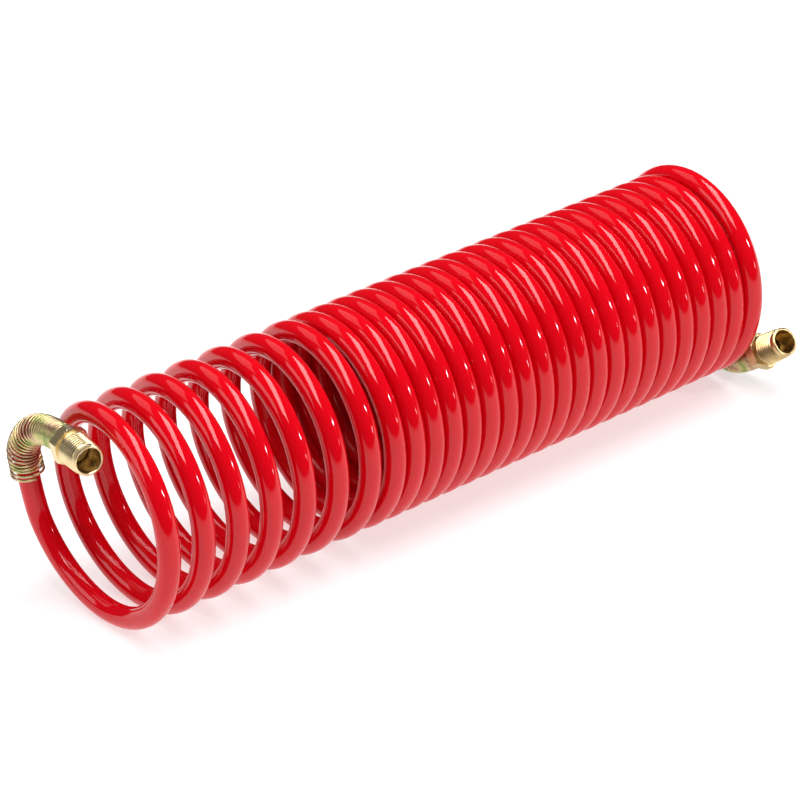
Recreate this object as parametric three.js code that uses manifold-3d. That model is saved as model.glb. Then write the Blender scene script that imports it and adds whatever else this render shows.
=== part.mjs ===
// A recoil air hose: a springy nylon tube wound into a coil that lies on its side, with a swivelling
// threaded brass fitting and a steel spring guard on each end. Millimetres, +Z up, +X along the coil
// from its loose near end to its closed far end.
import * as THREE from "three";
import { mergeVertices } from "three/addons/utils/BufferGeometryUtils.js";
import Module from "manifold-3d";

const wasm = await Module();
wasm.setup();

// ---- driving dimensions ----
const hoseOuter = 9.2; // diameter of the tube
const hoseBore = 6.35; // 1/4 inch inside
const coilRadius = 41.4; // from the coil's axis to the middle of the tube
const turns = 28;
const windingGap = 0.53; // between turns where the coil is shut
const openGap = 7; // and where the near end has sprung open
const openTurns = 6.6; // how many turns stand open
const openFade = 0.4; // the turns over which the coil closes up
const turnsPerPacket = 3; // shut turns that move as one piece
const firstFlare = 2; // how far the first turn's start stands proud of the others
const firstFlareTurns = 0.2; // and the share of the turn over which it does
const lastFlare = 2.4; // how far the last turn does at its top
const lastFlareTurns = 0.7;
const lastFlareStart = 0.65; // turns before the coil's end
const endTrim = 0.03; // turns left off each end of the coil's line, where it runs into a tail
const mouthStub = 2.5; // straight tube before each guard's mouth
const faceGap = 0.3; // between pieces that meet
const runClearance = 0.9; // from the last turn to the far tail
const floorClearance = 0.6; // under the far guard

const guardWire = 1.0;
const guardClearance = 0.3; // between the tube and the guard's windings
const guardFlare = 0.3; // how far the windings stand off on average

const hexAcross = 14.3; // 9/16 inch
const hexLength = 5;
const hexChamfer = 0.9;
const hexFrontChamfer = 1.44; // towards the thread
const neckLength = 0.8;
const neckRadius = 6.2;
const threadLength = 11.3; // 8 pitches of a 1/4 inch pipe thread, 18 to the inch
const threadCrests = 8;
const threadDepth = 0.75;
const threadEndRadius = 6.62; // crest radius at the nose end
const threadTaper = 1 / 32; // of the radius, along the thread
const noseLength = 2.1;
const noseStep = 0.32; // from the thread's smallest crest in to the nose
const noseChamfer = 0.5;
const portRadius = 5.1; // the wide bore behind the nose
const portDepth = 13.2;

const journalRadius = 3.6; // the stem's part that the swivel turns on
const runningGap = 0.3;
const stemBore = 1.9;
const flangeClearance = 0.5; // between the stem's flange and the port's wall
const stemFlangeLength = 1.2;
const collarClearance = 0.5; // between the stem's collar and the guard's windings
const stemCollarLength = 1.6;
const stemMouthChamfer = 0.6;
const barbCount = 2;
const barbPitch = 2;
const barbDepth = 0.35;
const barbRise = 0.75; // the share of its pitch over which a barb rises
const barbTip = 0.6;
const washerThickness = 0.6;
const sealSection = 1.1; // the O-ring's own thickness
const sealPlace = 2.8; // from the hexagon's back face to the middle of its groove

const tubeSides = 10;
const ringSides = 8;
const ringSteps = 18; // flats round each turn's ring
const turnSteps = 28; // steps along an end turn
const helixPoints = 16; // points a turn on the curve that an end turn follows
const ringLead = 0.62; // turns from an open ring's number to where it stands
const ribHalfWidth = 0.28; // half of a packet rib's flat top, as a share of the pitch
const ribDepth = 0.4; // of a packet's ribs, as a share of the tube's radius
const tailSteps = 12; // steps along a guard and the tube in it
const bodySteps = 18; // round a swivel body
const smallSteps = 12; // round a stem, washer or seal

// ---- what follows from them ----
const hoseRadius = hoseOuter / 2;
const closedPitch = hoseOuter + windingGap;
const openPitch = hoseOuter + openGap;
const bodyLength = hexLength + neckLength + threadLength + noseLength;
const guardInner = hoseRadius + guardClearance;
const guardOuter = guardInner + guardWire + guardFlare;
const stepPlace = bodyLength - portDepth; // where the wide bore ends, from the hexagon's back
const hoseEnd = -(faceGap + stemCollarLength + faceGap); // where the tube stops behind the hexagon
const stemReach = barbCount * barbPitch + barbTip; // of the stem into the tube
const noseRadius = threadEndRadius - noseStep;
const stemFlangeRadius = portRadius - flangeClearance;
const stemCollarRadius = guardInner - collarClearance;
const nearStart = -15.3; // x of the coil's first point
const up = new THREE.Vector3(0, 0, 1);

// The loose end's route, from its guard's mouth to its fitting: along X from the coil's first
// point, across from the first turn's side, and up from the coil's axis.
const nearMouth = [-0.2, 0.1, 3];
const nearBend = [
  [-0.7, 0.3, 9],
  [-1.9, -0.9, 14.8],
  [-2.2, -5.2, 22.8],
  [-1.9, -11.2, 28.7],
  [-1.5, -18.4, 31.8],
];
const nearFitting = { at: [-2.9, -36.5, 34.5], along: [-0.13, -0.99, 0.08] };

// The closed end's route: along X from the line that just clears the last turn, across from the
// coil's side, and up from where the guard would lie on the floor.
const farRun = [
  [-2.6, -2.7, 25.4],
  [-1.3, -10.6, 12.4],
];
const farMouth = [0, -23.6, 3.8];
const farBend = [
  [0.9, -34.8, 0.8],
  [1.2, -46.2, 0.1],
  [1.2, -57.8, 0.1],
  [1.3, -64.8, 0.9],
];
const farFitting = { at: [2.4, -77.5, 9], along: [0.03, -0.79, 0.62] };

const finish = {
  hose: { color: 0xd9081a, roughness: 0.22, metalness: 0 },
  brass: { color: 0xc9a765, roughness: 0.3, metalness: 1 },
  guard: { color: 0xb9b06a, roughness: 0.35, metalness: 1 },
  seal: { color: 0x151515, roughness: 0.7, metalness: 0 },
  washer: { color: 0xe8e6dd, roughness: 0.5, metalness: 0 },
};

function named(name, geometry, look) {
  const mesh = new THREE.Mesh(geometry, new THREE.MeshStandardMaterial(finish[look]));
  mesh.name = name;
  return mesh;
}

// ---- solids ----

function solidOf(geometry) {
  const bare = geometry.clone();
  bare.deleteAttribute("normal");
  bare.deleteAttribute("uv");
  const merged = mergeVertices(bare, 1e-4);
  return new wasm.Manifold(
    new wasm.Mesh({
      numProp: 3,
      vertProperties: new Float32Array(merged.attributes.position.array),
      triVerts: new Uint32Array(merged.index.array),
    }),
  );
}

function geometryOf(solid) {
  const mesh = solid.getMesh();
  const geometry = new THREE.BufferGeometry();
  geometry.setAttribute("position", new THREE.BufferAttribute(mesh.vertProperties, 3));
  geometry.setIndex(new THREE.BufferAttribute(mesh.triVerts, 1));
  geometry.computeVertexNormals();
  return geometry;
}

// A shape turned round Z from [radius, z] pairs, given upwards along its outside.
function turned(profile, steps) {
  const points = profile.map(([radius, z]) => new THREE.Vector2(radius, z));
  return new THREE.LatheGeometry(points, steps).rotateX(Math.PI / 2);
}

// The corners of a regular polygon whose flats stand at the given radius.
function polygon(radius, sides) {
  const corner = radius / Math.cos(Math.PI / sides);
  return Array.from({ length: sides }, (_, i) => {
    const angle = (2 * Math.PI * (i + 0.5)) / sides;
    return new THREE.Vector2(corner * Math.cos(angle), corner * Math.sin(angle));
  });
}

function tube(points, radius, steps, holeRadius = 0) {
  const shape = new THREE.Shape(polygon(radius, tubeSides));
  if (holeRadius) shape.holes.push(new THREE.Path(polygon(holeRadius, tubeSides)));
  const extrudePath = new THREE.CatmullRomCurve3(points, false, "centripetal");
  return new THREE.ExtrudeGeometry(shape, { extrudePath, steps });
}

// ---- the coil's line ----

// How far along X the coil has got after so many turns.
function along(t) {
  const past = Math.max(0, t - openTurns);
  const opened = Math.min(t, openTurns) + openFade * (1 - Math.exp(-past / openFade));
  return nearStart + closedPitch * t + (openPitch - closedPitch) * opened;
}

// A left-handed helix: it goes down on the +Y side, and round underneath towards -Y. The start of
// the first turn stands proud, and so does the last turn's top.
function coilPoint(t) {
  const angle = 2 * Math.PI * t;
  const settled = Math.min(1, t / firstFlareTurns);
  const share = Math.min(1, Math.max(0, (t - turns + lastFlareStart) / lastFlareTurns));
  const radius =
    coilRadius +
    firstFlare * Math.cos((Math.PI / 2) * settled) ** 2 +
    lastFlare * Math.sin(Math.PI * share) ** 2;
  return new THREE.Vector3(along(t), radius * Math.cos(angle), -radius * Math.sin(angle));
}

// Points given from a corner: along X, across from a side, and up from a level.
const placed = (x0, side, level) => ([x, y, z]) => new THREE.Vector3(x0 + x, side + y, level + z);

function route(place, mouth, bend, fittingAt) {
  const points = { mouth: place(mouth), bend: bend.map(place), at: place(fittingAt.at) };
  points.along = new THREE.Vector3(...fittingAt.along).normalize();
  points.in = points.bend[0].clone().sub(points.mouth).normalize();
  return points;
}

const nearPlace = placed(nearStart, coilRadius + firstFlare, 0);
const clearOfLastTurn = along(turns - 0.75) + hoseRadius + guardOuter + runClearance;
const floorLevel = -coilRadius - hoseRadius;
const farPlace = placed(clearOfLastTurn, coilRadius, floorLevel + guardOuter + floorClearance);
const nearRoute = route(nearPlace, nearMouth, nearBend, nearFitting);
const farRoute = route(farPlace, farMouth, farBend, farFitting);

// ---- the hose ----

// Turned round the coil's axis from [x, radius] pairs, with a flat side to lie on.
function turnedAboutX(profile) {
  const points = profile.map(([x, radius]) => new THREE.Vector2(radius, x));
  const ring = new THREE.LatheGeometry(points, ringSteps);
  const flat = 1 / Math.cos(Math.PI / ringSteps);
  ring.rotateY(Math.PI / ringSteps).rotateZ(-Math.PI / 2);
  return ring.scale(1, flat, flat);
}

// One turn as a flat ring, at the given place along X.
function coilRing(x) {
  const corners = polygon(hoseRadius, ringSides).map((p) => [x + p.y, coilRadius + p.x]);
  return turnedAboutX([...corners, corners[0]]);
}

// Shut turns as one ribbed sleeve, from the first turn's middle to the last one's.
function coilPacket(from, to, count) {
  const pitch = (to - from) / (count - 1);
  const crest = coilRadius + hoseRadius;
  const valley = crest - ribDepth * hoseRadius;
  const inner = coilRadius - hoseRadius;
  const rib = ribHalfWidth * pitch;
  const profile = [
    [from - hoseRadius, inner],
    [from - hoseRadius, valley],
  ];
  for (let i = 0; i < count; i++) {
    const middle = from + i * pitch;
    profile.push([middle - rib, crest], [middle + rib, crest]);
    profile.push([i < count - 1 ? middle + pitch / 2 : to + hoseRadius, valley]);
  }
  profile.push([to + hoseRadius, inner], profile[0]);
  return turnedAboutX(profile);
}

function helixStretch(from, to) {
  const count = Math.round((to - from) * helixPoints);
  return Array.from({ length: count + 1 }, (_, i) => coilPoint(from + ((to - from) * i) / count));
}

// Where the middle of a turn's flat ring stands: the first of them lie well past the end of the
// helical turn before them, and the last well short of the start of the one after.
function turnPlace(turn) {
  const share = (turn - 2) / (turns - 3);
  return along(turn - 1 + ringLead * (1 - share));
}

const turnName = (turn) => String(turn).padStart(2, "0");

// The points that lead an end turn into its tail's mouth, the nearest to the mouth first.
function mouthPoints({ mouth, in: way }) {
  return [faceGap, mouthStub].map((distance) => mouth.clone().addScaledVector(way, -distance));
}

function firstTurn() {
  const line = [...mouthPoints(nearRoute), ...helixStretch(endTrim, 1 - endTrim)];
  return named("coil_turn_01", tube(line, hoseRadius, turnSteps), "hose");
}

function lastTurn() {
  const helix = helixStretch(turns - 1 + endTrim, turns - endTrim);
  const line = [...helix, ...farRun.map(farPlace), ...mouthPoints(farRoute).reverse()];
  return named("coil_turn_" + turns, tube(line, hoseRadius, turnSteps), "hose");
}

function ringTurn(turn) {
  return named("coil_turn_" + turnName(turn), coilRing(turnPlace(turn)), "hose");
}

function packetTurns(turn, last) {
  const name = "coil_turns_" + turnName(turn) + "_" + turnName(last);
  const sleeve = coilPacket(turnPlace(turn), turnPlace(last), last - turn + 1);
  return named(name, sleeve, "hose");
}

function coilTurns() {
  const made = [firstTurn()];
  const firstShut = Math.min(turns, Math.ceil(openTurns + openFade) + 1);
  for (let turn = 2; turn < firstShut; turn++) made.push(ringTurn(turn));
  for (let turn = firstShut; turn < turns; turn += turnsPerPacket) {
    const last = Math.min(turn + turnsPerPacket, turns) - 1;
    made.push(last === turn ? ringTurn(turn) : packetTurns(turn, last));
  }
  made.push(lastTurn());
  return made;
}

// The tube inside a guard, and the guard itself as the sleeve that its windings fill.
function tail(end, { mouth, bend, at, along: way, in: start }) {
  const fromHexagon = (distance) => at.clone().addScaledVector(way, distance);
  const line = [
    mouth,
    mouth.clone().addScaledVector(start, 2),
    ...bend,
    fromHexagon(hoseEnd - stemReach),
    fromHexagon(-faceGap),
  ];
  const guard = tube(line, guardOuter, tailSteps, guardInner);
  const uncut = tube(line, hoseRadius, tailSteps, hoseBore / 2);
  const past = [
    [0, hoseEnd],
    [guardOuter, hoseEnd],
    [guardOuter, hexLength],
    [0, hexLength],
  ];
  const beyondHose = turned(past, smallSteps);
  beyondHose.applyQuaternion(new THREE.Quaternion().setFromUnitVectors(up, way));
  beyondHose.translate(at.x, at.y, at.z);
  const hose = geometryOf(solidOf(uncut).subtract(solidOf(beyondHose)));
  return [named(end + "_tail_hose", hose, "hose"), named(end + "_spring_guard", guard, "guard")];
}

// ---- the fitting, along Z from its hexagon's back face to its nose ----

function threadProfile() {
  const start = hexLength + neckLength;
  const pitch = threadLength / threadCrests;
  const crest = (z) => threadEndRadius + threadTaper * (start + threadLength - z);
  const points = [];
  for (let i = 0; i < threadCrests; i++) {
    const z = start + i * pitch;
    points.push([crest(z) - threadDepth, z]);
    points.push([crest(z + pitch / 2), z + pitch / 2]);
  }
  points.push([crest(start + threadLength) - threadDepth, start + threadLength]);
  return points;
}

// The hexagon, with both its ends turned to a cone.
function hexagonSolid() {
  const cornerRadius = hexAcross / 2 / Math.cos(Math.PI / 6);
  const prism = new THREE.CylinderGeometry(cornerRadius, cornerRadius, hexLength, 6);
  prism.rotateX(Math.PI / 2).rotateZ(Math.PI / 6).translate(0, 0, hexLength / 2);
  const cones = [
    [0, 0],
    [cornerRadius - hexChamfer, 0],
    [cornerRadius, hexChamfer / 2],
    [cornerRadius, hexLength - hexChamfer],
    [cornerRadius - hexFrontChamfer, hexLength],
    [0, hexLength],
  ];
  return solidOf(prism).intersect(solidOf(turned(cones, bodySteps)));
}

function shankSolid() {
  const outside = [
    [0, hexLength / 2],
    [neckRadius, hexLength / 2],
    [neckRadius, hexLength],
    ...threadProfile(),
    [noseRadius, bodyLength - noseLength],
    [noseRadius, bodyLength - noseChamfer],
    [noseRadius - noseChamfer, bodyLength],
    [0, bodyLength],
  ];
  return solidOf(turned(outside, bodySteps));
}

// The journal's passage with the O-ring's groove in it, and the wide port in front of it.
function boreSolid() {
  const passage = journalRadius + runningGap;
  const groove = passage + sealSection + runningGap;
  const half = sealSection / 2 + runningGap;
  const outside = [
    [0, -1],
    [passage, -1],
    [passage, sealPlace - half],
    [groove, sealPlace - half],
    [groove, sealPlace + half],
    [passage, sealPlace + half],
    [passage, stepPlace],
    [portRadius, stepPlace],
    [portRadius, bodyLength + 1],
    [0, bodyLength + 1],
  ];
  return solidOf(turned(outside, bodySteps));
}

function swivelBody() {
  return geometryOf(hexagonSolid().add(shankSolid()).subtract(boreSolid()));
}

function barbedStem() {
  const barbCrest = hoseBore / 2 - runningGap;
  const barbs = [];
  const tip = hoseEnd - stemReach;
  for (let i = 0; i < barbCount; i++) {
    const z = tip + barbTip + i * barbPitch;
    barbs.push([barbCrest - barbDepth, z], [barbCrest, z + barbRise * barbPitch]);
  }
  const flangeBack = stepPlace + faceGap + washerThickness + faceGap;
  const outside = [
    [stemBore, tip],
    [barbCrest - barbDepth, tip],
    ...barbs,
    [barbCrest - barbDepth, hoseEnd + faceGap],
    [stemCollarRadius, hoseEnd + faceGap],
    [stemCollarRadius, -faceGap],
    [journalRadius, -faceGap],
    [journalRadius, flangeBack],
    [stemFlangeRadius, flangeBack],
    [stemFlangeRadius, flangeBack + stemFlangeLength],
    [stemBore + stemMouthChamfer, flangeBack + stemFlangeLength],
    [stemBore, flangeBack + stemFlangeLength - stemMouthChamfer],
    [stemBore, tip],
  ];
  return turned(outside, smallSteps);
}

function sealRing() {
  const section = sealSection / 2;
  const middle = journalRadius + runningGap + section;
  return new THREE.TorusGeometry(middle, section, ringSides, smallSteps).translate(0, 0, sealPlace);
}

function thrustWasher() {
  const inner = journalRadius + runningGap;
  const outer = portRadius - runningGap;
  const low = stepPlace + faceGap;
  const profile = [
    [inner, low],
    [outer, low],
    [outer, low + washerThickness],
    [inner, low + washerThickness],
    [inner, low],
  ];
  return turned(profile, smallSteps);
}

function fitting(end, { at, along: way }) {
  const group = new THREE.Group();
  group.add(
    named(end + "_swivel_body", swivelBody(), "brass"),
    named(end + "_barbed_stem", barbedStem(), "brass"),
    named(end + "_o_ring", sealRing(), "seal"),
    named(end + "_thrust_washer", thrustWasher(), "washer"),
  );
  group.position.copy(at);
  group.quaternion.setFromUnitVectors(up, way);
  return group;
}

// ---- the assembly ----

const coiledHose = new THREE.Group();
coiledHose.name = "coiled_air_hose";
coiledHose.add(
  ...coilTurns(),
  ...tail("near", nearRoute),
  ...tail("far", farRoute),
  fitting("near", nearRoute),
  fitting("far", farRoute),
);

// The frame's origin is under the middle of the whole thing, on the floor that it lies on.
const box = new THREE.Box3().setFromObject(coiledHose, true);
const middle = box.getCenter(new THREE.Vector3());
coiledHose.position.set(-middle.x, -middle.y, -box.min.z);

export default coiledHose;
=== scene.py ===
from math import cos, exp, pi, radians, sin, tan

import bpy
from mathutils import Matrix, Vector


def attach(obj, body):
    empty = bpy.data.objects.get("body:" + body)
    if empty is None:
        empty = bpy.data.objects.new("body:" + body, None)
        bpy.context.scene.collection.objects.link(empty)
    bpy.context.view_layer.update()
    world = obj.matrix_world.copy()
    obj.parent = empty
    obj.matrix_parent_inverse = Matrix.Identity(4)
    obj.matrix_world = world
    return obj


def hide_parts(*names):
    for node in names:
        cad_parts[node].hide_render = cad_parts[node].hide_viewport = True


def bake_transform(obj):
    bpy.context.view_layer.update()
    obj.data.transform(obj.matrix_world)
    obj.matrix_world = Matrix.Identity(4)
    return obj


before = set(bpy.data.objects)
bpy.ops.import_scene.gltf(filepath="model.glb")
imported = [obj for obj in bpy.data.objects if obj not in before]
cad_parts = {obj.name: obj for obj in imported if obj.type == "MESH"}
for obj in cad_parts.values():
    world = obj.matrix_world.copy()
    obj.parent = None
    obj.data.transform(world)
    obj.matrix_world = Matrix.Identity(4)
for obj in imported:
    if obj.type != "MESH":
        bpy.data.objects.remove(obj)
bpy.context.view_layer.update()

mm = 0.001
bothEnds = ("near", "far")
scene = bpy.context.scene


# Curves and sweeps. Points are Vectors in metres.

def throughPoints(points, perSpan):
    # centripetal Catmull-Rom, with the same invented end points as the solid's curve has
    ends = [points[0] * 2 - points[1], *points, points[-1] * 2 - points[-2]]
    line = []
    for i in range(1, len(ends) - 2):
        a, b, c, d = ends[i - 1:i + 3]
        knots = [0.0]
        for p, q in ((a, b), (b, c), (c, d)):
            knots.append(knots[-1] + max((q - p).length, 1e-9) ** 0.5)
        for step in range(perSpan):
            t = knots[1] + (knots[2] - knots[1]) * step / perSpan
            mix = lambda p, q, i, j: p * ((knots[j] - t) / (knots[j] - knots[i])) + q * (
                (t - knots[i]) / (knots[j] - knots[i]))
            ab, bc, cd = mix(a, b, 0, 1), mix(b, c, 1, 2), mix(c, d, 2, 3)
            line.append(mix(mix(ab, bc, 0, 2), mix(bc, cd, 1, 3), 1, 2))
    return line + [points[-1].copy()]


def tangentsOf(line):
    last = len(line) - 1
    return [(line[min(i + 1, last)] - line[max(i - 1, 0)]).normalized() for i in range(last + 1)]


def framesOf(line):
    # two cross directions at each point, carried along without twisting
    tangents = tangentsOf(line)
    side = tangents[0].orthogonal().normalized()
    frames = []
    for tangent in tangents:
        side = (side - tangent * side.dot(tangent)).normalized()
        frames.append((side, tangent.cross(side)))
    return frames


def evenly(line, spacing):
    # the same line with points a fixed distance apart
    lengths = [0.0]
    for p, q in zip(line, line[1:]):
        lengths.append(lengths[-1] + (q - p).length)
    count = max(2, round(lengths[-1] / spacing))
    even, i = [], 0
    for k in range(count + 1):
        target = lengths[-1] * k / count
        while i < len(line) - 2 and lengths[i + 1] < target:
            i += 1
        share = (target - lengths[i]) / (lengths[i + 1] - lengths[i])
        even.append(line[i].lerp(line[i + 1], share))
    return even


def meshObject(name, rows, closedRows=False):
    # rows of points, each a closed loop of the same count, skinned in order
    count = len(rows[0])
    points = [p for row in rows for p in row]
    faces = []
    pairs = len(rows) if closedRows else len(rows) - 1
    for i in range(pairs):
        a, b = i * count, (i + 1) % len(rows) * count
        for j in range(count):
            k = (j + 1) % count
            faces.append((a + j, a + k, b + k, b + j))
    if not closedRows:
        faces.append(tuple(reversed(range(count))))
        faces.append(tuple(range(len(points) - count, len(points))))
    mesh = bpy.data.meshes.new(name)
    mesh.from_pydata(points, [], faces)
    mesh.validate()
    for polygon in mesh.polygons:
        polygon.use_smooth = True
    made = bpy.data.objects.new(name, mesh)
    scene.collection.objects.link(made)
    return made


def sharpen(piece, degrees):
    piece.data.set_sharp_from_angle(angle=radians(degrees))


def outward(piece):
    # reverses the faces of a piece whose loops were skinned inside out
    piece.data.update()
    volume = 0
    for polygon in piece.data.polygons:
        corners = [piece.data.vertices[i].co for i in polygon.vertices]
        for a, b in zip(corners[1:], corners[2:]):
            volume += corners[0].dot(a.cross(b))
    if volume < 0:
        piece.data.flip_normals()
    return piece


def anglesOf(count):
    return [2 * pi * j / count for j in range(count)]


def loopRows(line, radius, sides):
    around = anglesOf(sides)
    return [[centre + (across * cos(a) + up * sin(a)) * radius for a in around]
            for centre, (across, up) in zip(line, framesOf(line))]


# Shader nodes as expressions.

class Value:
    def __init__(self, finish, socket):
        self.finish, self.socket = finish, socket

    def maths(self, operation, *values):
        return self.finish.node("ShaderNodeMath", {"operation": operation}, *values)

    def __add__(self, other):
        return self.maths("ADD", self, other)

    def __radd__(self, other):
        return self.maths("ADD", other, self)

    def __mul__(self, other):
        return self.maths("MULTIPLY", self, other)

    def __rmul__(self, other):
        return self.maths("MULTIPLY", other, self)


class Finish:
    def __init__(self, name, **constants):
        self.material = bpy.data.materials.new(name)
        self.material.use_nodes = True
        self.tree = self.material.node_tree
        self.shader = self.tree.nodes["Principled BSDF"]
        for label, value in constants.items():
            self.shader.inputs[label.replace("_", " ")].default_value = value
        self.place = self.node("ShaderNodeTexCoord", {}, output="Object")

    def node(self, kind, settings, *values, output=0, **named):
        made = self.tree.nodes.new(kind)
        for label, value in settings.items():
            if label == "stops":
                ramp = made.color_ramp
                while len(ramp.elements) < len(value):
                    ramp.elements.new(0.5)
                for element, (position, colour) in zip(ramp.elements, value):
                    element.position, element.color = position, colour
            else:
                setattr(made, label, value)
        for key, value in [*enumerate(values), *((k.replace("_", " "), v) for k, v in named.items())]:
            if isinstance(value, Value):
                self.tree.links.new(value.socket, made.inputs[key])
            elif value is not None:
                made.inputs[key].default_value = value
        return Value(self, made.outputs[output])

    def feed(self, label, value):
        self.tree.links.new(value.socket, self.shader.inputs[label])

    def noise(self, scale, detail=3.0, roughness=0.5):
        return self.node("ShaderNodeTexNoise", {}, Vector=self.place, Scale=scale, Detail=detail,
                         Roughness=roughness)

    def ramp(self, value, *stops):
        shades = [(position, (*colour, 1)) for position, colour in stops]
        return self.node("ShaderNodeValToRGB", {"stops": shades}, value)

    def range(self, value, low, high, toLow, toHigh):
        return self.node("ShaderNodeMapRange", {}, value, low, high, toLow, toHigh)

    def mix(self, factor, a, b):
        # a Mix node has its number and vector sockets before the two for colours
        return self.node("ShaderNodeMix", {"data_type": "RGBA"}, factor, *[None] * 5, (*a, 1), (*b, 1),
                         output=2)

    def along(self, direction):
        return self.node("ShaderNodeVectorMath", {"operation": "DOT_PRODUCT"}, self.place,
                         tuple(direction), output="Value")

    def bump(self, height, distance, strength=1.0):
        self.feed("Normal", self.node("ShaderNodeBump", {}, Strength=strength, Distance=distance,
                                      Height=height))


# The camera.

camera = {
    "place": Vector((-713.1, -913.2, 712.5)) * mm,
    "aim": Vector((0.0, 11.9, 35.5)) * mm,
    "right": Vector((0.781, -0.624, -0.030)),
    "lens": 145.6,
}


def makeCamera():
    back = (camera["place"] - camera["aim"]).normalized()
    right = (camera["right"] - back * camera["right"].dot(back)).normalized()
    upward = back.cross(right)
    data = bpy.data.cameras.new("camera")
    data.lens = camera["lens"]
    data.sensor_width = 36
    data.clip_start, data.clip_end = 0.05, 30
    made = bpy.data.objects.new("camera", data)
    turned = Matrix((right, upward, back)).transposed().to_4x4()
    made.matrix_world = Matrix.Translation(camera["place"]) @ turned
    scene.collection.objects.link(made)
    scene.camera = made


makeCamera()


# The tube: its coil, and its routes to the two fittings.

tube = {
    "radius": 4.6 * mm,
    "bore": 3.175 * mm,
    "coilRadius": 41.4 * mm,
    "turns": 28,
    "closedPitch": 9.73 * mm,
    "openPitch": 16.2 * mm,
    "openTurns": 6.6,
    "openFade": 0.4,
    "firstFlare": 2 * mm,
    "firstFlareTurns": 0.2,
    "lastFlare": 2.4 * mm,
    "lastFlareTurns": 0.7,
    "lastFlareStart": 0.65,  # turns before the end
    "start": -15.3 * mm,
    "axis": Vector((-145.2903, 2.4264, 46.0845)) * mm,  # from the coil's own frame to the floor's
    "length": 7.44,
    "stub": 2.5 * mm,  # straight on the coil's side of a tail's mouth
    "lead": 2 * mm,  # and on the tail's side
    "run": 6.8 * mm,  # straight into the fitting
    "endGap": 2.2 * mm,  # from the tube's end to the hexagon's back
    "sides": 20,
    "perTurn": 16,
    "smooth": 4,
    "tailSides": 24,
    "tailStep": 0.8 * mm,
}


def coilAlong(t):
    past = max(0, t - tube["openTurns"])
    opened = min(t, tube["openTurns"]) + tube["openFade"] * (1 - exp(-past / tube["openFade"]))
    spread = tube["openPitch"] - tube["closedPitch"]
    return tube["start"] + tube["closedPitch"] * t + spread * opened


def coilPoint(t):
    # the first turn's start and the last turn's top stand proud of the others
    angle = 2 * pi * t
    settled = min(1, t / tube["firstFlareTurns"])
    share = min(1, max(0, (t - tube["turns"] + tube["lastFlareStart"]) / tube["lastFlareTurns"]))
    radius = tube["coilRadius"] + tube["firstFlare"] * cos(pi / 2 * settled) ** 2
    radius += tube["lastFlare"] * sin(pi * share) ** 2
    across = Vector((0, cos(angle), -sin(angle))) * radius
    return tube["axis"] + Vector((coilAlong(t), 0, 0)) + across


def placed(x, side, level):
    corner = tube["axis"] + Vector((x, side, level))
    return lambda point: corner + Vector(point) * mm


guardOuter = 6.2 * mm
nearPlace = placed(tube["start"], tube["coilRadius"] + tube["firstFlare"], 0)
farPlace = placed(
    coilAlong(tube["turns"] - 0.75) + tube["radius"] + guardOuter + 0.9 * mm,
    tube["coilRadius"],
    guardOuter + 0.6 * mm - tube["coilRadius"] - tube["radius"],
)
routes = {
    "near": {
        "mouth": nearPlace((-0.2, 0.1, 3)),
        "bend": [nearPlace(p) for p in (
            (-0.7, 0.3, 9), (-1.9, -0.9, 14.8), (-2.2, -5.2, 22.8), (-1.9, -11.2, 28.7),
            (-1.5, -18.4, 31.8))],
        "at": nearPlace((-2.9, -36.5, 34.5)),
        "way": Vector((-0.13, -0.99, 0.08)).normalized(),
    },
    "far": {
        "run": [farPlace(p) for p in ((-2.6, -2.7, 25.4), (-1.3, -10.6, 12.4))],
        "mouth": farPlace((0, -23.6, 3.8)),
        "bend": [farPlace(p) for p in (
            (0.9, -34.8, 0.8), (1.2, -46.2, 0.1), (1.2, -57.8, 0.1), (1.3, -64.8, 0.9))],
        "at": farPlace((2.4, -77.5, 9)),
        "way": Vector((0.03, -0.79, 0.62)).normalized(),
    },
}


def leaving(end, distance):
    # the point so far past a tail's mouth, or short of it
    mouth, after = routes[end]["mouth"], routes[end]["bend"][0]
    return mouth + (after - mouth).normalized() * distance


def tailLine(end, gap):
    # from the mouth to where the piece ends, short of the hexagon's back
    route = routes[end]
    points = [route["mouth"], leaving(end, tube["lead"]), *route["bend"],
              route["at"] - route["way"] * tube["run"], route["at"] - route["way"] * gap]
    return throughPoints(points, 40)


def coilHose():
    perTurn, turns = tube["perTurn"], tube["turns"]
    points = [routes["near"]["mouth"], leaving("near", -tube["stub"])]
    turned = [-0.04, -0.02]  # how many turns round each point lies
    for i in range(1, perTurn * turns):
        turned.append(i / perTurn)
        points.append(coilPoint(turned[-1]))
    points += [*routes["far"]["run"], leaving("far", -tube["stub"]), routes["far"]["mouth"]]
    turned += [turns + 0.08, turns + 0.16, turns + 0.22, turns + 0.24]
    line = throughPoints(points, tube["smooth"])
    rounds = []
    for a, b in zip(turned, turned[1:]):
        rounds += [a + (b - a) * step / tube["smooth"] for step in range(tube["smooth"])]
    rounds.append(turned[-1])

    rows = loopRows(line, tube["radius"], tube["sides"])
    hose = meshObject("coiled_hose", rows)
    # The tube is laid out straight by turns for a moment, then wound again.
    sides = tube["sides"]
    wound = [vertex.co.copy() for vertex in hose.data.vertices]
    for i, vertex in enumerate(hose.data.vertices):
        vertex.co = (rounds[i // sides], 0, 0)
    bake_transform(hose)
    for vertex, point in zip(hose.data.vertices, wound):
        vertex.co = point
    hose.data.update()
    return hose, line


def pipe(name, line, radius, bore, sides):
    # a hollow length of tube with flat ends, as one closed loop of rows
    return meshObject(name, loopRows(line, radius, sides) + loopRows(line, bore, sides)[::-1],
                      closedRows=True)


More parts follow.
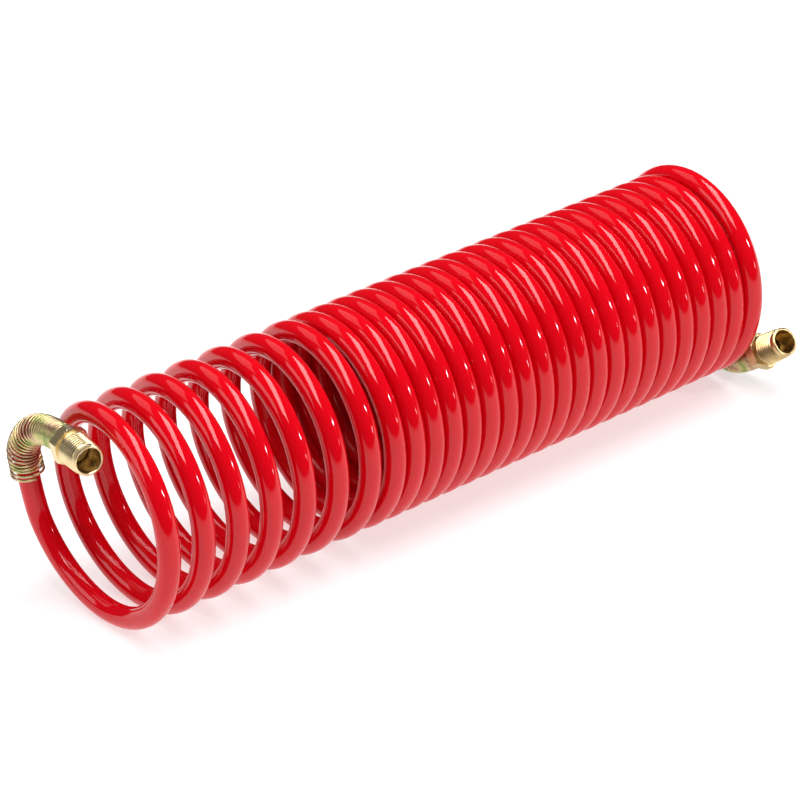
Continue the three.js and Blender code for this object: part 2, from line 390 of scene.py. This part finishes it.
hose, hoseLine = coilHose()
tails = {}
for end in bothEnds:
    tailCentre = evenly(tailLine(end, tube["endGap"]), tube["tailStep"])
    tails[end] = pipe(end + "_tail_tube", tailCentre, tube["radius"], tube["bore"], tube["tailSides"])
    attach(tails[end], end + "_tail")
    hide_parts(end + "_tail_hose")
    sharpen(tails[end], 50)
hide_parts(*[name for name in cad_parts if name.startswith("coil_turn")])
print("tube wound:", len(hoseLine), "rings")


# Spring guards: wire wound close over the tails.

def smoothStep(value):
    value = min(1, max(0, value))
    return value * value * (3 - 2 * value)


guard = {
    "wire": 0.56 * mm,
    "closePitch": 1.36 * mm,  # by the hexagon
    "openPitch": 2.4 * mm,  # round the bend and out to the mouth
    "closeShare": 0.82,  # of the way along, from where the windings lie close
    "openShare": 0.5,
    "endShare": 0.08,  # the last windings at the mouth lie close again
    "inner": 4.85 * mm,
    "flare": 1.2 * mm,
    "endGap": 0.3 * mm,
    "step": 0.5 * mm,
    "sides": 10,
    "perTurn": 32,
}


def springGuard(end):
    line = evenly(tailLine(end, guard["endGap"]), guard["step"])
    frames = framesOf(line)
    length = sum((q - p).length for p, q in zip(line, line[1:]))
    margin = guard["wire"] / length
    share, i = 1 - margin, 0
    wire = []
    while share > margin:
        # from the hexagon back, the windings open up
        opened = smoothStep((guard["closeShare"] - share) / (guard["closeShare"] - guard["openShare"]))
        opened *= smoothStep(share / guard["endShare"])
        pitch = guard["closePitch"] + (guard["openPitch"] - guard["closePitch"]) * opened
        share -= pitch / guard["perTurn"] / length
        i += 1
        place = max(0, share) * (len(line) - 1)
        k = min(int(place), len(line) - 2)
        centre = line[k].lerp(line[k + 1], place - k)
        across, upward = (a.lerp(b, place - k).normalized() for a, b in zip(frames[k], frames[k + 1]))
        angle = 2 * pi * i / guard["perTurn"]
        radius = guard["inner"] + guard["wire"] + guard["flare"] * (1 - share) ** 1.5
        wire.append(centre + (across * cos(angle) + upward * sin(angle)) * radius)
    made = meshObject(end + "_guard_wire", loopRows(wire, guard["wire"], guard["sides"]))
    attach(made, end + "_tail")
    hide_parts(end + "_spring_guard")
    return made


guards = {end: springGuard(end) for end in bothEnds}
print("guards wound")


# Fittings, each in millimetres from the back of its hexagon to its nose.

fitting = {
    "hexAcross": 14.3,
    "hexLength": 5,
    "frontChamfer": 0.9,
    "backChamfer": 0.72,
    "chamferAngle": 30,
    "neck": 0.8,
    "neckRadius": 6.2,
    "threadLength": 11.3,
    "threadPitch": 1.4111,
    "threadDepth": 0.75,
    "threadEnd": 6.62,
    "threadRise": 1.2,  # where it comes up from the neck
    "threadFall": 0.9,  # and where it runs out at the nose
    "threadStep": 0.088,
    "taper": 1 / 32,
    "noseLength": 2.1,
    "noseRadius": 6.3,
    "port": 5.1,
    "portDepth": 13.2,
    "passage": 3.9,
    "sealGroove": 5.3,
    "sealPlace": 2.8,
    "sealRoom": 0.85,  # to each side of the groove's middle
    "around": 144,
}
fittingLength = sum(fitting[part] for part in ("hexLength", "neck", "threadLength", "noseLength"))
portFloor = fittingLength - fitting["portDepth"]


def fittingMatrix(end):
    route = routes[end]
    turned = Vector((0, 0, 1)).rotation_difference(route["way"]).to_matrix().to_4x4()
    return Matrix.Translation(route["at"]) @ turned @ Matrix.Scale(mm, 4)


def hexRadius(angle, z):
    # the hexagon, with both its ends turned to a cone
    half = fitting["hexAcross"] / 2
    sector = (angle + pi / 6) % (pi / 3) - pi / 6
    flat = half / cos(sector)
    corner = half / cos(pi / 6)
    slope = tan(radians(fitting["chamferAngle"]))
    back = corner - fitting["backChamfer"] + z / slope
    front = corner - fitting["frontChamfer"] + (fitting["hexLength"] - z) / slope
    return min(flat, back, front)


def threadRadius(angle, z):
    # a V thread on a cone, running out into the neck and the nose
    start = fitting["hexLength"] + fitting["neck"]
    along = z - start
    crest = fitting["threadEnd"] + fitting["taper"] * (fitting["threadLength"] - along)
    phase = (along / fitting["threadPitch"] - angle / (2 * pi)) % 1
    tooth = 0.5 - 0.5 * cos(2 * pi * phase)
    fade = smoothStep(along / fitting["threadRise"])
    fade *= smoothStep((fitting["threadLength"] - along) / fitting["threadFall"])
    root = crest - fitting["threadDepth"]
    return root + fitting["threadDepth"] * tooth * fade


def polar(radius, angle, z):
    return Vector((radius * cos(angle), radius * sin(angle), z))


def bodyRows():
    # outside from the hexagon's back to the nose, then back down the bores
    hexEnd = fitting["hexLength"]
    threadStart = hexEnd + fitting["neck"]
    threadEnd = threadStart + fitting["threadLength"]
    around = anglesOf(fitting["around"])
    rows = []

    def ring(radius, z):
        # the radius is a number, or a function of the angle and z
        rows.append([polar(radius(a, z) if callable(radius) else radius, a, z) for a in around])

    ring(fitting["passage"], 0.3)
    ring(fitting["passage"] + 0.3, 0)
    ring(5.6, 0)
    for z in (0, 0.12, 0.25, 0.4, 0.6, 0.8, 1.1, 2.2, 3.4, 3.8, 4.1, 4.35, 4.55, 4.7, 4.85, hexEnd):
        ring(hexRadius, z)
    ring(fitting["neckRadius"] + 0.25, hexEnd)
    ring(fitting["neckRadius"] + 0.06, hexEnd + 0.08)
    ring(fitting["neckRadius"], hexEnd + 0.25)
    steps = round(fitting["threadLength"] / fitting["threadStep"])
    for i in range(steps + 1):
        ring(threadRadius, threadStart + fitting["threadLength"] * i / steps)
    nose = fitting["noseRadius"]
    ring(nose - 0.42, threadEnd + 0.2)
    ring(nose - 0.4, threadEnd + 0.35)
    ring(nose - 0.05, threadEnd + 0.62)
    ring(nose, threadEnd + 0.7)
    ring(nose, fittingLength - 0.5)
    ring(nose - 0.06, fittingLength - 0.36)
    ring(nose - 0.5, fittingLength - 0.02)
    ring(nose - 0.56, fittingLength)
    ring(fitting["port"] + 0.28, fittingLength)
    ring(fitting["port"] + 0.2, fittingLength - 0.03)
    ring(fitting["port"], fittingLength - 0.3)
    for i in range(1, 9):
        ring(fitting["port"], fittingLength - 0.3 - (fittingLength - 0.5 - portFloor) * i / 9)
    ring(fitting["port"], portFloor + 0.15)
    ring(fitting["port"] - 0.15, portFloor)
    ring(fitting["passage"] + 0.1, portFloor)
    ring(fitting["passage"], portFloor - 0.1)
    ring(fitting["passage"], fitting["sealPlace"] + fitting["sealRoom"])
    ring(fitting["sealGroove"], fitting["sealPlace"] + fitting["sealRoom"])
    ring(fitting["sealGroove"], fitting["sealPlace"] - fitting["sealRoom"])
    ring(fitting["passage"], fitting["sealPlace"] - fitting["sealRoom"])
    return rows


def lathed(name, end, profile, around=72):
    rows = [[polar(radius, a, z) for a in anglesOf(around)] for radius, z in profile]
    made = meshObject(name, rows, closedRows=True)
    made.data.transform(fittingMatrix(end))
    sharpen(made, 32)
    return made


def swivelBody(end):
    made = meshObject(end + "_fitting_body", bodyRows(), closedRows=True)
    made.data.transform(fittingMatrix(end))
    sharpen(made, 28)
    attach(made, end + "_swivel")
    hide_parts(end + "_swivel_body")
    return outward(made)


stem = {
    "bore": 1.9,
    "radius": 2.52,
    "barb": 2.87,
    "barbs": (-6.8, -4.8),  # where each starts to rise
    "tip": -7.4,
    "collar": 4.4,
    "journal": 3.6,
    "flange": 4.6,
    "flangeLift": 1.2,  # above the port's floor
}


def barbedStem(end):
    # from the tip in the tube, over the barbs and the collar, to the flange in the port
    flange = portFloor + stem["flangeLift"]
    radius, collar, journal, rim = (stem[part] for part in ("radius", "collar", "journal", "flange"))
    profile = [(stem["bore"], stem["tip"] + 0.2), (2.1, stem["tip"]), (radius, stem["tip"])]
    for start in stem["barbs"]:
        profile += [(radius, start), (stem["barb"], start + 1.5), (stem["barb"], start + 1.6)]
    profile += [
        (radius, -2.8), (radius, -1.9),
        (collar - 0.1, -1.9), (collar, -1.8), (collar, -0.4), (collar - 0.1, -0.3),
        (journal, -0.3), (journal, flange),
        (rim - 0.15, flange), (rim, flange + 0.15), (rim, flange + 0.9), (rim - 0.15, flange + 1.1),
        (3.4, flange + 1.2), (2.6, flange + 1.2), (2.3, flange + 1.05), (stem["bore"], flange + 0.6),
    ]
    made = lathed(end + "_stem", end, profile)
    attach(made, end + "_tail")
    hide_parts(end + "_barbed_stem")
    return outward(made)


washer = {
    "bore": 3.9,
    "radius": 4.8,
    "thickness": 0.6,
    "lift": 0.3,
}


def thrustWasher(end):
    low = portFloor + washer["lift"]
    high = low + washer["thickness"]
    bore, radius = washer["bore"], washer["radius"]
    profile = [(bore, low), (radius - 0.05, low), (radius, low + 0.06),
               (radius, high - 0.06), (radius - 0.05, high), (bore, high)]
    made = lathed(end + "_washer", end, profile)
    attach(made, end + "_tail")
    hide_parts(end + "_thrust_washer")
    return outward(made)


seal = {
    "radius": 4.45,
    "thickness": 0.55,
    "sides": 16,
}


def oRing(end):
    profile = [(seal["radius"] + seal["thickness"] * cos(a),
                fitting["sealPlace"] + seal["thickness"] * sin(a)) for a in anglesOf(seal["sides"])]
    made = lathed(end + "_seal", end, profile, around=48)
    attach(made, end + "_swivel")
    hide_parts(end + "_o_ring")
    return outward(made)


fittings = {end: [swivelBody(end), barbedStem(end), thrustWasher(end), oRing(end)] for end in bothEnds}
for piece in (hose, *tails.values(), *guards.values()):
    outward(piece)
print("fittings turned")

tuple(routes["near"]["mouth"])
[tuple(point) for point in hoseLine]
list(fittings["near"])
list(fittings["far"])


# Finishes.

def paint(finish, *pieces):
    for piece in pieces:
        piece.data.materials.clear()
        piece.data.materials.append(finish.material)


nylon = {
    "deep": (0.62, 0.0006, 0.006),
    "bright": (0.74, 0.0008, 0.009),
    "roughness": 0.05,
}


def nylonFinish():
    finish = Finish("red_nylon", Roughness=nylon["roughness"], IOR=1.45, Subsurface_Weight=0.1,
                    Subsurface_Radius=(0.004, 0.0005, 0.0005), Subsurface_Scale=1.0)
    drift = finish.noise(22, detail=2)
    finish.feed("Base Color", finish.mix(drift, nylon["deep"], nylon["bright"]))
    scuffs = finish.noise(900, detail=4, roughness=0.7)
    rough = nylon["roughness"]
    finish.feed("Roughness", finish.range(scuffs, 0.35, 0.8, rough, rough + 0.06))
    finish.bump(finish.noise(140, detail=1) + 0.05 * scuffs, 0.00002, 0.25)
    return finish


brass = {
    "near": {"pale": (0.86, 0.70, 0.42), "dark": (0.72, 0.55, 0.28), "roughness": 0.27},
    "far": {"pale": (0.70, 0.53, 0.27), "dark": (0.45, 0.30, 0.12), "roughness": 0.3},
}


def brassFinish(end):
    # turned on a lathe: fine rings along the axis, and a cloudy tarnish
    tones = brass[end]
    finish = Finish(end + "_brass", Metallic=1.0, Roughness=tones["roughness"])
    tarnish = finish.noise(260)
    clouded = finish.range(tarnish, 0.3, 0.75, 0, 1)
    finish.feed("Base Color", finish.mix(clouded, tones["pale"], tones["dark"]))
    place = finish.along(routes[end]["way"])
    rings = finish.node("ShaderNodeTexNoise", {"noise_dimensions": "1D"}, W=place * 9000.0, Scale=1.0,
                        Detail=3.0)
    rough = tones["roughness"]
    finish.feed("Roughness", finish.range(tarnish + rings, 0.6, 1.5, rough - 0.04, rough + 0.1))
    finish.bump(rings, 0.000003, 0.15)
    return finish


def zincFinish():
    # yellow chromate on zinc, which shifts between straw, green and rose
    finish = Finish("plated_wire", Metallic=1.0, Roughness=0.3)
    tint = finish.noise(120, detail=2)
    finish.feed("Base Color", finish.ramp(
        tint,
        (0.30, (0.28, 0.34, 0.12)),
        (0.42, (0.56, 0.52, 0.22)),
        (0.50, (0.68, 0.56, 0.30)),
        (0.60, (0.48, 0.29, 0.20)),
        (0.72, (0.38, 0.40, 0.20)),
    ))
    spots = finish.noise(1500)
    finish.feed("Roughness", finish.range(spots, 0.3, 0.8, 0.26, 0.36))
    finish.bump(spots, 0.000003, 0.12)
    return finish


def rubberFinish():
    finish = Finish("black_rubber", Roughness=0.6)
    grain = finish.noise(2500)
    finish.feed("Base Color", finish.mix(grain, (0.012, 0.012, 0.012), (0.03, 0.03, 0.03)))
    finish.bump(grain, 0.00002, 0.5)
    return finish


def washerFinish():
    finish = Finish("pale_washer", Roughness=0.45)
    cloud = finish.noise(800)
    finish.feed("Base Color", finish.mix(cloud, (0.74, 0.72, 0.66), (0.86, 0.85, 0.80)))
    finish.bump(cloud, 0.00002, 0.4)
    return finish


paint(nylonFinish(), hose, *tails.values())
paint(zincFinish(), *guards.values())
rubberBlack, washerPale = rubberFinish(), washerFinish()
for end in bothEnds:
    body, brassStem, washerRing, sealRing = fittings[end]
    paint(brassFinish(end), body, brassStem)
    paint(washerPale, washerRing)
    paint(rubberBlack, sealRing)
print("finishes on")


# Floor and lights.

studio = {
    "floor": (0.52, 0.52, 0.52),
    "glow": 0.62,
    "ambient": 0.06,
    "lamps": {
        # name: place, aimed at, width, height, power
        "overhead": ((0.1, -0.12, 1.3), (0, 0, 0.05), 1.9, 0.5, 23.5),
        "key": ((0.95, -1.05, 0.76), (0, 0, 0.05), 0.13, 0.13, 6),
        "low": ((1.05, -1.3, 0.3), (0, 0, 0.05), 0.07, 0.14, 1.2),
        "back": ((-0.27, 1.1, 1.2), (0, 0, 0.05), 1.2, 0.8, 3),
        "left": ((-1.5, 0.5, 0.8), (0, 0, 0.03), 1.0, 1.0, 7),
    },
}


def makeStudio():
    half = 6
    corners = [Vector((x, y, 0)) for x, y in ((-half, -half), (half, -half), (half, half), (-half, half))]
    mesh = bpy.data.meshes.new("floor")
    mesh.from_pydata(corners, [], [(0, 1, 2, 3)])
    floor = bpy.data.objects.new("floor", mesh)
    scene.collection.objects.link(floor)
    paint(Finish("floor_paper", Base_Color=(*studio["floor"], 1), Roughness=0.9, Specular_IOR_Level=0.1,
                 Emission_Color=(1, 1, 1, 1), Emission_Strength=studio["glow"]), floor)

    for name, (place, target, width, height, power) in studio["lamps"].items():
        data = bpy.data.lights.new(name, "AREA")
        data.shape = "RECTANGLE"
        data.size, data.size_y, data.energy = width, height, power
        lamp = bpy.data.objects.new(name, data)
        lamp.location = place
        lamp.rotation_euler = (Vector(target) - Vector(place)).to_track_quat("-Z", "Y").to_euler()
        scene.collection.objects.link(lamp)
    world = bpy.data.worlds.new("studio")
    scene.world = world
    world.use_nodes = True
    backdrop = world.node_tree.nodes["Background"]
    backdrop.inputs["Color"].default_value = (1, 1, 1, 1)
    backdrop.inputs["Strength"].default_value = studio["ambient"]
    scene.view_settings.view_transform = "Standard"


makeStudio()
print("studio lit")
